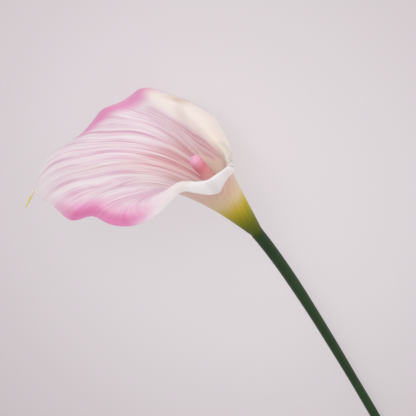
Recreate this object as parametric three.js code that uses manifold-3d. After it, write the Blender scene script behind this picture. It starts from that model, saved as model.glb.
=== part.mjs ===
// Calla lily flower, cut with a length of its stem and laid on its side.
// Millimetres, +Z up. The origin is under the middle of the part, on the surface it lies on.
//
// The spathe, the spadix and the stem are each worked out in the flower's own frame:
// origin in the middle of the spathe's foot, +Z up the tube, +X toward the spathe's tip
// and +Y toward its outer margin. One group then lays the whole flower down.

import * as THREE from 'three';
import { mergeVertices } from 'three/addons/utils/BufferGeometryUtils.js';
import Module from 'manifold-3d';

const wasm = await Module();
wasm.setup();

const { PI, abs, cos, exp, max, min, sin } = Math;
const degrees = PI / 180;

// Spathe: one rolled leaf. Its shape is given by eight profiles, 45 degrees apart from the tip
// round past the outer margin. Each is a quartic Bezier of [radius, height] from foot to rim.
const PROFILES = [
  [[3, 0], [8, 20], [16, 76], [60, 110], [88, 97]],
  [[3, 0], [8, 20], [11, 58], [37, 97], [61, 85]],
  [[3, 0], [8, 20], [9, 48], [22, 80], [25, 60]],
  [[3, 0], [7.5, 20], [10, 42], [20, 71], [22, 51]],
  [[3, 0], [7, 20], [11, 42], [17, 64], [20, 51]],
  [[3, 0], [7, 20], [10.5, 50], [14, 88], [23, 58]],
  [[3, 0], [7.5, 20], [9.5, 60], [21, 110], [38, 78]],
  [[3, 0], [8, 20], [15, 68], [44, 106], [71, 92]],
];
// Waves of the rim: direction and spread in degrees, then how far out and up they push it.
const WAVES = [
  [-114, 14, 3, 2],
  [-85, 11, 6, -5.6],
  [-66, 10, 1, 6.5],
  [-54, 7, 3, -1.5],
  [-42, 10, -7, 3],
  [-41, 5, 0, 2],
  [-28, 10, 2, -5],
  [-12, 7, 2, 2],
  [18, 7, -2, 2],
  [32, 6, 2, -3],
  [40, 6, -3, 1],
  [58, 17, 8, -6],
  [108, 14, 0, -6],
  [178, 12, -3, 0],
  [-182, 12, -3, 0],
  [-150, 14, -1, 0.6],
  [210, 14, -1, 0.6],
];
const TIP_REACH = 9;            // how far the point runs out beyond the profiles
const TIP_DROP = 3.2;
const TIP_SPREAD = 9 * degrees;
const OUTER_OVERLAP = 35 * degrees;   // how far each margin laps past the middle of the front
const INNER_OVERLAP = 20 * degrees;
const LAP_SPACING = 1.3;        // between the middles of the two layers where they lap
const FOOT_THICKNESS = 0.9;
const RIM_THICKNESS = 0.8;

// Veins run from the foot to the tip. The outer ones turn along the margin sooner.
const GATHER_FROM = 0.30;       // share of a vein's way at which it starts to gather to the tip
const MARGIN_REACHED = 0.46;    // share at which the outermost veins reach the rim
const FAN_POWER = 2.2;

const SPATHE_ROWS_TUBE = 12;
const SPATHE_ROWS_LIMB = 32;
const SPATHE_COLUMNS = 44;

// The thread-like end of the tip, which hooks back: start, knee and end from the tip.
const THREAD = [[-4, 0, 1.2], [2.5, 0.4, -0.6], [8, 2, -4.5]];
const THREAD_RADII = [0.75, 0.35];
const THREAD_RINGS = 8;
const THREAD_SIDES = 8;

// Spadix: female florets below, male florets above, all as raised diamonds.
const SPADIX_TOP = 66;
const SPADIX_RADIUS = 3.7;
const SPADIX_FOOT_RADIUS = 1.4;
const SPADIX_FOOT_LENGTH = 14;
const SPADIX_BELLY = 0.35;      // extra radius of the female zone
const FEMALE_ZONE_MIDDLE = 16;
const FEMALE_ZONE_SPREAD = 8;
const FLORET_RELIEF = 0.22;
const SPADIX_ROWS_ROD = 40;
const SPADIX_ROWS_TOP = 4;
const SPADIX_SIDES = 24;

// Stem: leaves the foot along the tube's line and bends over to one direction.
const STEM_TOP = -0.35;
const STEM_LENGTH = 250;
const STEM_END_DIRECTION = [0.02, 0.32, -0.947];
const STEM_BEND_LENGTH = 45;
const STEM_NECK_RADIUS = 3.8;
const STEM_RADIUS = 2.75;
const STEM_TAPER_LENGTH = 120;
const STEM_STEPS = 28;
const STEM_SIDES = 12;

// How the flower lies: turned until two lobes of its limb and the stem's cut end touch down.
const LAY_TURN = [70.7, 1.12, -106.39];   // degrees about X, then Y, then Z
const LAY_AT = [-59.16, 21.75, 20.13];

const FINISHES = {
  spathe: { color: 0xebdfe3, roughness: 0.45, metalness: 0 },
  spadix: { color: 0xe08a98, roughness: 0.7, metalness: 0 },
  stem: { color: 0x3a4a2a, roughness: 0.5, metalness: 0 },
};
const NORMAL_STEP = 1e-4;       // half the step over which the leaf's slope is taken

const clamp01 = (x) => min(max(x, 0), 1);
const bump = (x, middle, spread) => exp(-(((x - middle) / spread) ** 2));

// Share of one profile in a direction that lies the angle x away from it.
function profileShare(x) {
  return (1 + 2 * cos(x) + 2 * cos(2 * x) + 2 * cos(3 * x) + cos(4 * x)) / PROFILES.length;
}

function quartic(points, t, k) {
  const s = 1 - t;
  const weights = [s ** 4, 4 * s ** 3 * t, 6 * s ** 2 * t ** 2, 4 * s * t ** 3, t ** 4];
  return points.reduce((sum, point, i) => sum + weights[i] * point[k], 0);
}

// Middle of the leaf's thickness in direction theta, a share t of the way from foot to rim.
function leafPoint(theta, t) {
  let radius = 0;
  let height = 0;
  PROFILES.forEach((profile, i) => {
    const share = profileShare(theta - (2 * PI * i) / PROFILES.length);
    radius += share * quartic(profile, t, 0);
    height += share * quartic(profile, t, 1);
  });
  for (const [middle, spread, out, up] of WAVES) {
    const push = bump(theta, middle * degrees, spread * degrees) * t ** 4;
    radius += out * push;
    height += up * push;
  }
  const tip = exp(-abs(theta) / TIP_SPREAD) * t ** 6;
  radius += TIP_REACH * tip;
  height -= TIP_DROP * tip;
  return new THREE.Vector3(radius * cos(theta), radius * sin(theta), height);
}

function leafNormal(theta, t) {
  const step = NORMAL_STEP;
  const inside = min(max(t, 2 * step), 1 - 2 * step);
  const round = leafPoint(theta + step, inside).sub(leafPoint(theta - step, inside));
  const along = leafPoint(theta, inside + step).sub(leafPoint(theta, inside - step));
  return round.cross(along).normalize();
}

// Direction and share of the way to the rim, from the way along a vein (u, 0 to 1)
// and the vein's place between the inner margin (-1), the midrib (0) and the outer margin (1).
function veinPlace(u, v) {
  const gathered = clamp01((u - GATHER_FROM) / (1 - GATHER_FROM));
  const overlap = v > 0 ? OUTER_OVERLAP : INNER_OVERLAP;
  const theta = (PI + overlap) * v * cos((gathered * PI) / 2);
  const marginShare = 1 - clamp01(1 - u / MARGIN_REACHED) ** 2;
  const t = u + (marginShare - u) * abs(v) ** FAN_POWER;
  return [theta, t];
}

// side is 1 on the outside of the tube and -1 on its inside.
function spathePoint(u, v, side) {
  const [theta, t] = veinPlace(u, v);
  const thickness = FOOT_THICKNESS + (RIM_THICKNESS - FOOT_THICKNESS) * t;
  const layer = (LAP_SPACING * theta) / (2 * PI);
  return leafPoint(theta, t).addScaledVector(leafNormal(theta, t), layer + (side * thickness) / 2);
}

// Rows along the veins: even in the tube, then closer and closer toward the tip.
function spatheRow(i) {
  if (i <= SPATHE_ROWS_TUBE) return (GATHER_FROM * i) / SPATHE_ROWS_TUBE;
  const way = (i - SPATHE_ROWS_TUBE) / SPATHE_ROWS_LIMB;
  return GATHER_FROM + (1 - GATHER_FROM) * sin((way * PI) / 2);
}

// A closed geometry from a list of points and a list of triangles.
function solidGeometry(points, triangles) {
  const geometry = new THREE.BufferGeometry().setFromPoints(points);
  geometry.setIndex(triangles);
  return geometry;
}

// The leaf as a closed shell. Both faces are split along the same diagonals.
function shellGeometry() {
  const rows = SPATHE_ROWS_TUBE + SPATHE_ROWS_LIMB;
  const across = SPATHE_COLUMNS + 1;
  const faceSize = rows * across + 1;
  const points = [];
  const triangles = [];
  for (const side of [1, -1]) {
    for (let i = 0; i < rows; i += 1) {
      for (let j = 0; j < across; j += 1) {
        points.push(spathePoint(spatheRow(i), (2 * j) / SPATHE_COLUMNS - 1, side));
      }
    }
    points.push(spathePoint(1, 0, side));
  }
  const at = (face, i, j) => face * faceSize + (i < rows ? i * across + j : rows * across);
  const quad = (a, b, c, d) => triangles.push(a, b, c, a, c, d);
  for (let j = 0; j < SPATHE_COLUMNS; j += 1) {
    for (let i = 0; i < rows - 1; i += 1) {
      quad(at(0, i, j), at(0, i, j + 1), at(0, i + 1, j + 1), at(0, i + 1, j));
      quad(at(1, i + 1, j + 1), at(1, i, j + 1), at(1, i, j), at(1, i + 1, j));
    }
    triangles.push(at(0, rows - 1, j), at(0, rows - 1, j + 1), at(0, rows, 0));
    triangles.push(at(1, rows - 1, j + 1), at(1, rows - 1, j), at(1, rows, 0));
    quad(at(1, 0, j), at(1, 0, j + 1), at(0, 0, j + 1), at(0, 0, j));
  }
  for (let i = 0; i < rows; i += 1) {
    quad(at(1, i + 1, 0), at(1, i, 0), at(0, i, 0), at(0, i + 1, 0));
    const last = SPATHE_COLUMNS;
    quad(at(1, i, last), at(1, i + 1, last), at(0, i + 1, last), at(0, i, last));
  }
  return solidGeometry(points, triangles);
}

// A closed rod from rings of points, all with the same count, and a middle point at each end.
function rodGeometry(rings, first, last) {
  const sides = rings[0].length;
  const points = rings.flat();
  const start = points.push(first) - 1;
  const end = points.push(last) - 1;
  const triangles = [];
  for (let j = 0; j < sides; j += 1) {
    const next = (j + 1) % sides;
    for (let i = 0; i < rings.length - 1; i += 1) {
      const low = i * sides;
      const high = low + sides;
      triangles.push(low + j, low + next, high + next, low + j, high + next, high + j);
    }
    const top = (rings.length - 1) * sides;
    triangles.push(start, next, j, end, top + j, top + next);
  }
  return solidGeometry(points, triangles);
}

// A ring of points round a place, square to a direction.
function ring(middle, direction, radius, sides) {
  const level = new THREE.Vector3(0, 1, 0).cross(direction).normalize();
  const upright = direction.clone().cross(level);
  return Array.from({ length: sides }, (_, j) => {
    const angle = (2 * PI * j) / sides;
    return middle.clone()
      .addScaledVector(level, radius * cos(angle))
      .addScaledVector(upright, radius * sin(angle));
  });
}

function toManifold(geometry) {
  const bare = new THREE.BufferGeometry();
  bare.setAttribute('position', geometry.getAttribute('position'));
  bare.setIndex(geometry.getIndex());
  const merged = mergeVertices(bare);
  return new wasm.Manifold(new wasm.Mesh({
    numProp: 3,
    vertProperties: new Float32Array(merged.getAttribute('position').array),
    triVerts: new Uint32Array(merged.getIndex().array),
  }));
}

function toGeometry(manifold) {
  const mesh = manifold.getMesh();
  const geometry = new THREE.BufferGeometry();
  geometry.setAttribute('position', new THREE.BufferAttribute(mesh.vertProperties, 3));
  geometry.setIndex(new THREE.BufferAttribute(mesh.triVerts, 1));
  return geometry;
}

function threadGeometry() {
  const tip = spathePoint(1, 0, 0);
  const curve = new THREE.QuadraticBezierCurve3(...THREAD.map((p) => tip.clone().add(new THREE.Vector3(...p))));
  const rings = [];
  for (let i = 0; i <= THREAD_RINGS; i += 1) {
    const way = i / THREAD_RINGS;
    const radius = THREAD_RADII[0] + (THREAD_RADII[1] - THREAD_RADII[0]) * way;
    rings.push(ring(curve.getPoint(way), curve.getTangent(way), radius, THREAD_SIDES));
  }
  return rodGeometry(rings, curve.getPoint(0), curve.getPoint(1));
}

function spatheGeometry() {
  return toGeometry(toManifold(shellGeometry()).add(toManifold(threadGeometry())));
}

function spadixRadius(z) {
  const foot = SPADIX_RADIUS - (SPADIX_RADIUS - SPADIX_FOOT_RADIUS) * exp(-z / SPADIX_FOOT_LENGTH);
  const belly = SPADIX_BELLY * bump(z, FEMALE_ZONE_MIDDLE, FEMALE_ZONE_SPREAD);
  const overTop = clamp01((z - (SPADIX_TOP - SPADIX_RADIUS)) / SPADIX_RADIUS);
  return (foot + belly) * (1 - overTop ** 2) ** 0.5;
}

// Heights of the rows: even up the rod, then closer and closer over the round top.
function spadixRow(i) {
  const rod = SPADIX_TOP - SPADIX_RADIUS;
  if (i <= SPADIX_ROWS_ROD) return (rod * i) / SPADIX_ROWS_ROD;
  const way = (i - SPADIX_ROWS_ROD) / SPADIX_ROWS_TOP;
  return rod + SPADIX_RADIUS * sin((way * PI) / 2);
}

// Raised diamonds, one for each floret, fading out over the round top.
function spadixGeometry() {
  const rings = [];
  for (let i = 0; i < SPADIX_ROWS_ROD + SPADIX_ROWS_TOP; i += 1) {
    const z = spadixRow(i);
    const relief = i > 0 ? FLORET_RELIEF * clamp01((SPADIX_TOP - z) / SPADIX_RADIUS) : 0;
    const points = [];
    for (let j = 0; j < SPADIX_SIDES; j += 1) {
      const raised = (i + j) % 2 === 0 ? relief : -relief;
      const angle = (2 * PI * j) / SPADIX_SIDES;
      const radius = spadixRadius(z) + raised;
      points.push(new THREE.Vector3(radius * cos(angle), radius * sin(angle), z));
    }
    rings.push(points);
  }
  return rodGeometry(rings, new THREE.Vector3(0, 0, 0), new THREE.Vector3(0, 0, SPADIX_TOP));
}

function stemGeometry() {
  const down = new THREE.Vector3(0, 0, -1);
  const away = new THREE.Vector3(...STEM_END_DIRECTION);
  const step = STEM_LENGTH / STEM_STEPS;
  const heading = (s) => down.clone().lerp(away, 1 - exp(-s / STEM_BEND_LENGTH)).normalize();
  const place = new THREE.Vector3(0, 0, STEM_TOP);
  const rings = [];
  for (let i = 0; i <= STEM_STEPS; i += 1) {
    const s = i * step;
    const radius = STEM_NECK_RADIUS + (STEM_RADIUS - STEM_NECK_RADIUS) * clamp01(s / STEM_TAPER_LENGTH);
    if (i > 0) place.addScaledVector(heading(s - step / 2), step);
    rings.push(ring(place, heading(s), radius, STEM_SIDES));
  }
  return rodGeometry(rings, new THREE.Vector3(0, 0, STEM_TOP), place.clone());
}

function part(name, geometry) {
  geometry.computeVertexNormals();
  const mesh = new THREE.Mesh(geometry, new THREE.MeshStandardMaterial(FINISHES[name]));
  mesh.name = name;
  return mesh;
}

const flower = new THREE.Group();
flower.add(part('spathe', spatheGeometry()));
flower.add(part('spadix', spadixGeometry()));
flower.add(part('stem', stemGeometry()));
flower.rotation.set(...LAY_TURN.map((angle) => angle * degrees), 'ZYX');
flower.position.set(...LAY_AT);

const callaLily = new THREE.Group();
callaLily.add(flower);

export default callaLily;
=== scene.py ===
"""Looks of a cut calla lily flower, laid out as an add-on and run as a script.

The spathe, the spadix and the stem are surfaces worked out in the flower's own frame, in
millimetres: origin in the middle of the spathe's foot, +Z up the tube, +X toward the tip and
+Y toward the outer margin. One turn and one shift then lay them down, in metres.
"""

from math import radians

import bpy
import numpy as np
from mathutils import Euler, Matrix, Vector


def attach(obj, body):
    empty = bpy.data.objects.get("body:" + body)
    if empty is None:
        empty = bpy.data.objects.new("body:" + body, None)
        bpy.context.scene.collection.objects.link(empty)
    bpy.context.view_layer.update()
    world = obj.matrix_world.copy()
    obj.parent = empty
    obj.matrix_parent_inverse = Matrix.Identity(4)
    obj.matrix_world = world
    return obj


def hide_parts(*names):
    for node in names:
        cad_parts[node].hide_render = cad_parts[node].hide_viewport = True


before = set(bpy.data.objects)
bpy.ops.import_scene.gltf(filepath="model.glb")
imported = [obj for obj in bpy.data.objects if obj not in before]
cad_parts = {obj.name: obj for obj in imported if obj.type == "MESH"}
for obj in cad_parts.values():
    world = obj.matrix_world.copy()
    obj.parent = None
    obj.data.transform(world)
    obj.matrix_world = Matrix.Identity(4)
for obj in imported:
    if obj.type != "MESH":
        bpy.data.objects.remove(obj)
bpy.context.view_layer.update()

bl_info = {
    "name": "Calla lily flower",
    "version": (1, 0, 0),
    "blender": (4, 5, 0),
    "location": "View3D > Sidebar > Calla lily",
    "description": "Builds a calla lily flower: spathe, spadix and stem, with a plain studio",
    "category": "Add Mesh",
}

MILLIMETRE = 0.001
DECIMETRE = 100                 # in millimetres: the unit of the heights that the finishes read

# How the flower lies: turned about X, then Y, then Z, in degrees, then shifted in millimetres
LAY_TURN = (70.7, 1.12, -106.39)
LAY_AT = (-59.16, 21.75, 20.13)

# Spathe: eight profiles 45 degrees apart from the tip round past the outer margin, each a
# quartic Bezier of (radius, height) from foot to rim
PROFILES = np.array((
    ((3, 0), (8, 20), (16, 76), (60, 110), (88, 97)),
    ((3, 0), (8, 20), (11, 58), (37, 97), (61, 85)),
    ((3, 0), (8, 20), (9, 48), (22, 80), (25, 60)),
    ((3, 0), (7.5, 20), (10, 42), (20, 71), (22, 51)),
    ((3, 0), (7, 20), (11, 42), (17, 64), (20, 51)),
    ((3, 0), (7, 20), (10.5, 50), (14, 88), (23, 58)),
    ((3, 0), (7.5, 20), (9.5, 60), (21, 110), (38, 78)),
    ((3, 0), (8, 20), (15, 68), (44, 106), (71, 92)),
))
# Waves of the rim: direction and spread in degrees, then how far out and up they push it
WAVES = (
    (-114, 14, 3, 2),
    (-85, 11, 6, -5.6),
    (-66, 10, 1, 6.5),
    (-54, 7, 3, -1.5),
    (-42, 10, -7, 3),
    (-41, 5, 0, 2),
    (-28, 10, 2, -5),
    (-12, 7, 2, 2),
    (18, 7, -2, 2),
    (32, 6, 2, -3),
    (40, 6, -3, 1),
    (58, 17, 8, -6),
    (108, 14, 0, -6),
    (178, 12, -3, 0),
    (-182, 12, -3, 0),
    (-150, 14, -1, 0.6),
    (210, 14, -1, 0.6),
)
# More waves that only this fine surface has: they round the lower lobe's inner side and the
# flap, and draw the margin in by the tip
FINE_WAVES = (
    (79, 8, -4, 1.5),
    (108, 7, -1.3, 0.7),
    (142, 12, -2.4, -0.4),
    (-3, 2.5, -1.6, 0),
)
TIP_REACH = 9
TIP_DROP = 3.2
TIP_SPREAD = radians(9)
OUTER_OVERLAP = radians(35)
INNER_OVERLAP = radians(20)
LAP_SPACING = 1.3
FOOT_THICKNESS = 0.9
RIM_THICKNESS = 0.8
GATHER_FROM = 0.30
MARGIN_REACHED = 0.46
FAN_POWER = 2.2

# The spathe's grid. A pair below is where something begins and where it is full
TUBE_ROWS = 40
LIMB_ROWS = 118
COLUMNS = 200
MARGIN_POINTS = 5
LAP_CLOSING = 0.44              # how much closer the lapped layers lie at the rim
LAP_COLUMNS = (0.45, 0.75)      # share of the way from the middle to either margin
LAP_WAY = (0.55, 0.85)          # share of the way from foot to rim
MARGIN_THINNING = 0.45          # how much thinner the leaf is at its very margin
MARGIN_COLUMNS = (0.8, 1)
RIB_WAVES = ((0.5, 3.4, 0), (0.3, 2.1, 0.8), (0.2, 5.8, 2.1))   # share, degrees a radian, start
RIB_WANDER = (1.3, 17)          # how far the first wave wanders, and over how many degrees a radian
RIB_FOOT_WAY = (0.18, 0.48)
RIB_RIM_WAY = (0.75, 1)
RIB_RIM_FADING = 0.75
RIB_WALL_VEINS = (-80, -60)
RIB_FLAP_VEINS = (90, 110)
RIB_MARGIN_POWER = 10

# The skirt under the foot, which hugs the stem's neck
SKIRT_ROWS = 8
SKIRT_LENGTH = 2.6
SKIRT_CLEARANCE = 0.05          # between the neck and the skirt's outer face at the inner margin
SKIRT_LAP = 0.06                # how much the clearance grows over one turn
SKIRT_WALL = 0.03               # between the skirt's two faces at its end
SKIRT_HASTE = 1.1               # the neck is reached after the skirt's length over this
SKIRT_WAY = -0.03               # what the way from foot to rim is at the skirt's end

# The thread at the tip: a path from the leaf's end, and the radius at both of its ends
THREAD_ROWS = 22
THREAD_BLEND_FROM = 0.93        # share of the limb's rows at which the leaf narrows to the thread
THREAD_PATH = ((0, 0, 0), (4, 2.4, -3), (10.3, 4.5, -5.8))
THREAD_RADII = (0.8, 0.35)
THREAD_ROUND_FROM = 0.93        # share of its length at which its end is rounded
THREAD_END_AREA = 0.02          # share of its area that is left at the very end
THREAD_WAY = 0.1                # how far the way from foot to rim runs on along the thread

# How the veins run: degrees, and shares of the way from foot to rim
VEIN_OFFSET = 7.4
VEIN_PER_DEGREE = 0.726
VEIN_SINKING = 13
VEIN_GATHERING = 0.48
VEIN_EVEN_TO = 0.57             # share of the limb under which they neither gather nor sink
VEIN_EASING = 0.06
THROAT_TOP = 0.76
THROAT_TURN = 110
THROAT_EASING = 0.1
WALL_VEIN = -62                 # the vein from which the far wall's veins crowd together
WALL_DIRECTION = -100
WALL_EASING = 12
WALL_TOP = 0.68
WALL_TOP_RISE = 0.0028          # how much higher the crowding begins for each degree past the wall
WALL_CROWDING = 18
WALL_SPACING = 28
WALL_START = 2                  # rounds the start of the square root on the wall
RIM_FROM = 0.78
RIM_LEAN = 27
FAR_LOBE_VEIN = 62
FAR_LOBE_EASING = 3
# How the pattern of lines is swept aside at the rim past the lower lobe
SWEEP_FROM = 0.74
SWEEP = 110
SWEEP_VEINS = (48, 98)

# Spadix and stem, as the solids have them
SPADIX_TOP = 66
SPADIX_RADIUS = 3.7
SPADIX_FOOT_RADIUS = 1.4
SPADIX_FOOT_LENGTH = 14
SPADIX_BELLY = 0.35
FEMALE_ZONE_MIDDLE = 16
FEMALE_ZONE_SPREAD = 8
STEM_TOP = -0.35
STEM_LENGTH = 250
STEM_END_DIRECTION = (0.02, 0.32, -0.947)
STEM_BEND_LENGTH = 45
STEM_NECK_RADIUS = 3.8
STEM_RADIUS = 2.75
STEM_TAPER_LENGTH = 120

# Their finer forms. Florets: spirals to the left and to the right, and millimetres from row to row
SPADIX_ROWS = 360
SPADIX_SIDES = 144
SPADIX_STRAIGHT_ROWS = 0.93     # share of the rows under the round top
SMALL_FLORETS = (17, 19, 1.35)
LARGE_FLORETS = (9, 10, 2.5)
LARGE_FLORET_HEIGHT = 2.2       # times the small ones' height
FLORET_ZONE_EDGE = 2            # millimetres over which the large florets give way to the small
FLORETS_FULL_AT = 3             # millimetres over the spadix's foot
STEM_ROWS = 300
STEM_SIDES = 72
STEM_FIRST_ROWS = (0.03, 0.12, 0.28, 0.5)     # millimetres from the top
STEM_LAST_ROWS = (0.3, 0.16, 0.07, 0.02)      # millimetres from the cut end
STEM_TOP_EDGE = 1.2             # radius of the eased edge at the top
STEM_CUT_EDGE = 0.3             # radius of the eased edge at the cut end
STEM_RIDGES = ((0.6, 11, 0.3), (0.4, 17, 1.9))      # share, number round the stem, start
STEM_SWELL = ((0.012, 19, 0), (0.008, 7.3, 1))      # share, millimetres a radian, start
RIDGES_FULL_AT = 12             # millimetres from the stem's top

# How strongly the veins are coloured in the limb and in the throat: (vein in degrees, strength),
# and the span of veins that the spathe's UV map covers
VEIN_SPAN = (-100, 140)
LIMB_VEINS = (
    (-80, 0), (-70, 0.45), (-66, 0.2), (-57, 0.35), (-50, 0.1), (-45, 0.4), (-41.5, 0.05),
    (-39, 0.6), (-36.5, 0.05), (-34, 0.85), (-30, 0), (-24, 0.4), (-17, 0.05), (-14.3, 0.5),
    (-12.3, 0.1), (-9.8, 1), (-7, 0.05), (-3, 0.4), (1, 0.3), (4, 0.05), (7, 0.5), (9.5, 0.15),
    (16, 0.85), (20, 0.1), (22.5, 0), (26.3, 0.65), (29.5, 0.6), (36, 0.3), (44, 0),
    (48.5, 0.5), (50.5, 0.15), (53, 0.8),
)
THROAT_VEINS = (
    (-81, 0), (-78, 0.5), (-76, 0.15), (-74, 0.5), (-72.3, 0.15), (-70.5, 0.6), (-69, 0.2),
    (-67.2, 0.8), (-65.5, 0.1), (-63.8, 0.5), (-62.2, 0.15), (-57, 0.7), (-50, 0.1), (-44, 0.75),
    (-40, 0.3), (-37, 0.35), (-32, 0), (-25, 0.75), (-21, 0.65), (-18.3, 0.7), (-14.3, 0),
    (-11, 1), (-8.5, 1), (-5, 0), (-1, 0.05), (3.8, 0.5), (7, 0.15), (12, 0.45), (16, 0.15),
    (19, 0.4), (24, 0), (44, 0.1),
)

# Colours of the smaller parts, out of 255
# painted shade: the olive band is partly the leaf's own tone and partly shade in the crease between
# the back wall and the lower lobe
OLIVE_STREAK_AND_SHADE = (206, 184, 158)
BEIGE_WALL = (255, 231, 214)
NOTCH_SHADE = (208, 188, 170)
PALE_MIDRIB = (226, 222, 192)
RIM_LINE = (198, 104, 150)
OUTER_LINES = (206, 150, 146)
FLORET_GRAIN = (202, 104, 114)
# painted shade: darker pink in the gaps between the florets
FLORET_GAP_SHADE = (150, 60, 76)
STEM_LINES = (44, 74, 36)
STEM_PATCHES = (24, 44, 18)
PITH = (120, 140, 80)
PALE_PITH = (190, 200, 150)
SKY = (246, 242, 246)
# Colours up the leaf's outside and up the spadix: (height in decimetres, colour)
OUTSIDE_COLOURS = (
    (0.00, (46, 66, 10)),
    (0.05, (84, 98, 2)),
    (0.12, (106, 117, 0)),
    (0.19, (154, 150, 0)),
    (0.27, (209, 188, 46)),
    (0.36, (240, 215, 172)),
    (0.48, (242, 208, 192)),
    (0.85, (240, 226, 222)),
)
OUTSIDE_START = 0.03            # how far the first of these colours lies under the foot
SPADIX_COLOURS = (
    (0.00, (196, 190, 120)),
    (0.20, (206, 176, 120)),
    (0.28, (234, 196, 178)),
    (0.48, (252, 212, 204)),
    (0.58, (234, 139, 150)),
    # painted highlight: the light pink of the round top is partly the light falling on it
    (0.66, (254, 196, 224)),
)

# The photograph's view, in the flower's frame, and the size of its square frame
VIEW_UP = (-0.3795, -0.6548, 0.6536)
VIEW_BACK = (-0.4330, 0.7500, 0.5000)
FOOT_IN_PICTURE = (28.5, -13.8)   # millimetres right of and above the picture's middle
PICTURE_WIDTH = 249.6
SENSOR_WIDTH = 36

# Lights: metres to the right, up and toward the camera from the flower, size and tint
KEY_LIGHT = ((-0.4, 0.3, 1.0), 0.8, (1.0, 0.985, 0.97))
FILL_LIGHT = ((0.8, 0.5, 0.7), 0.6, (1.0, 0.96, 0.93))
# painted light: the floor is painted darker away from the middle of a pool of light
FLOOR_FADE = (0.03, 0.28)       # metres from the bright place over which the floor darkens


# Shapes

def smooth(x):
    """Runs from 0 to 1 with level ends as x does: three times x squared less twice x cubed."""
    x = np.clip(x, 0, 1)
    return x * x * (3 - 2 * x)


def rise(x, low, high):
    """0 up to low, 1 from high on, and smooth between them."""
    return smooth((x - low) / (high - low))


def fall(x, low, high):
    """1 up to low, 0 from high on, and smooth between them."""
    return 1 - rise(x, low, high)


def bump(x, middle, spread):
    """A bell of height 1: e to the minus square of the distance over the spread."""
    return np.exp(-(((x - middle) / spread) ** 2))


def unit(vectors):
    """The same directions with length 1."""
    length = np.linalg.norm(vectors, axis=-1, keepdims=True)
    return vectors / np.maximum(length, 1e-12)


def lay_turn():
    """The turn that lays the flower down, as a 3 by 3 array."""
    return np.array(Euler([radians(angle) for angle in LAY_TURN], "XYZ").to_matrix())


def lay_down(points):
    """From the flower's own frame in millimetres to the row frame in metres: turn, then shift."""
    return (points @ lay_turn().T + np.array(LAY_AT)) * MILLIMETRE


def leaf_point(theta, t):
    """Middle of the leaf in direction theta, a share t of the way from foot to rim.

    Radius and height are the sum of the eight profiles, each times a periodic share of the angle
    to it (a sum of cosines up to the fourth), plus the rim's waves times t to the fourth and the
    tip's point times t to the sixth.
    """
    s = 1 - t
    steps = (s**4, 4 * s**3 * t, 6 * s**2 * t**2, 4 * s * t**3, t**4)
    radius = np.zeros_like(theta)
    height = np.zeros_like(theta)
    for i, profile in enumerate(PROFILES):
        x = theta - 2 * np.pi * i / len(PROFILES)
        share = (1 + 2 * np.cos(x) + 2 * np.cos(2 * x) + 2 * np.cos(3 * x) + np.cos(4 * x)) / 8
        for step, (out, up) in zip(steps, profile):
            radius = radius + share * step * out
            height = height + share * step * up
    for middle, spread, out, up in (*WAVES, *FINE_WAVES):
        push = bump(theta, radians(middle), radians(spread)) * t**4
        radius = radius + out * push
        height = height + up * push
    tip = np.exp(-np.abs(theta) / TIP_SPREAD) * t**6
    radius = radius + TIP_REACH * tip
    height = height - TIP_DROP * tip
    return np.stack((radius * np.cos(theta), radius * np.sin(theta), height), -1)


def leaf_normal(theta, t):
    """Outward direction: the cross product of small steps round and along the leaf."""
    step = 1e-4
    inside = np.clip(t, 2 * step, 1 - 2 * step)
    around = leaf_point(theta + step, inside) - leaf_point(theta - step, inside)
    along = leaf_point(theta, inside + step) - leaf_point(theta, inside - step)
    return unit(np.cross(around, along))


def vein_place(u, v):
    """Direction and share of the way to the rim, for a row u and a column v of the grid.

    The direction is v times half a turn and the overlap, and shrinks with the cosine of the way
    from GATHER_FROM to the tip. The outer columns reach the rim sooner.
    """
    gathered = np.clip((u - GATHER_FROM) / (1 - GATHER_FROM), 0, 1)
    overlap = np.where(v > 0, OUTER_OVERLAP, INNER_OVERLAP)
    theta = (np.pi + overlap) * v * np.cos(gathered * np.pi / 2)
    margin_share = 1 - np.clip(1 - u / MARGIN_REACHED, 0, 1) ** 2
    t = u + (margin_share - u) * np.abs(v) ** FAN_POWER
    return theta, t


def pigment_direction(theta, t):
    """The vein on which a point lies, in degrees: each vein keeps its number all along.

    Up the limb the veins gather toward the tip and sink toward the lower margin. Under
    THROAT_TOP they turn round the throat, by THROAT_TURN times the way below squared, over the
    way below plus its easing. Past WALL_VEIN they crowd on the far wall, by e to the minus
    WALL_CROWDING times the way under the wall's top, and are spaced by a square root. Over
    RIM_FROM they lean by RIM_LEAN times the way over it, except past the lower lobe.
    """
    way = np.clip((t - GATHER_FROM) / (1 - GATHER_FROM), 0, 1)
    way = (way + VEIN_EVEN_TO + np.hypot(way - VEIN_EVEN_TO, VEIN_EASING)) / 2
    gathered = VEIN_PER_DEGREE * (theta - VEIN_SINKING * way) / (1 - VEIN_GATHERING * way)
    below = np.maximum(THROAT_TOP - t, 0)
    vein = VEIN_OFFSET + gathered + THROAT_TURN * below**2 / (below + THROAT_EASING)
    past = WALL_DIRECTION - theta
    past_wall = (past + np.hypot(past, WALL_EASING)) / 2
    under_top = np.maximum(WALL_TOP + WALL_TOP_RISE * past_wall - t, 0)
    on_wall = np.minimum(vein - WALL_VEIN, 0) * np.exp(-WALL_CROWDING * under_top)
    crowded = WALL_VEIN + WALL_START - np.sqrt(WALL_START**2 - WALL_SPACING * on_wall)
    vein = np.where(vein < WALL_VEIN, crowded, vein)
    lean = 1 / (1 + np.exp((vein - FAR_LOBE_VEIN) / FAR_LOBE_EASING))
    return vein + RIM_LEAN * np.maximum(t - RIM_FROM, 0) * lean


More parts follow.
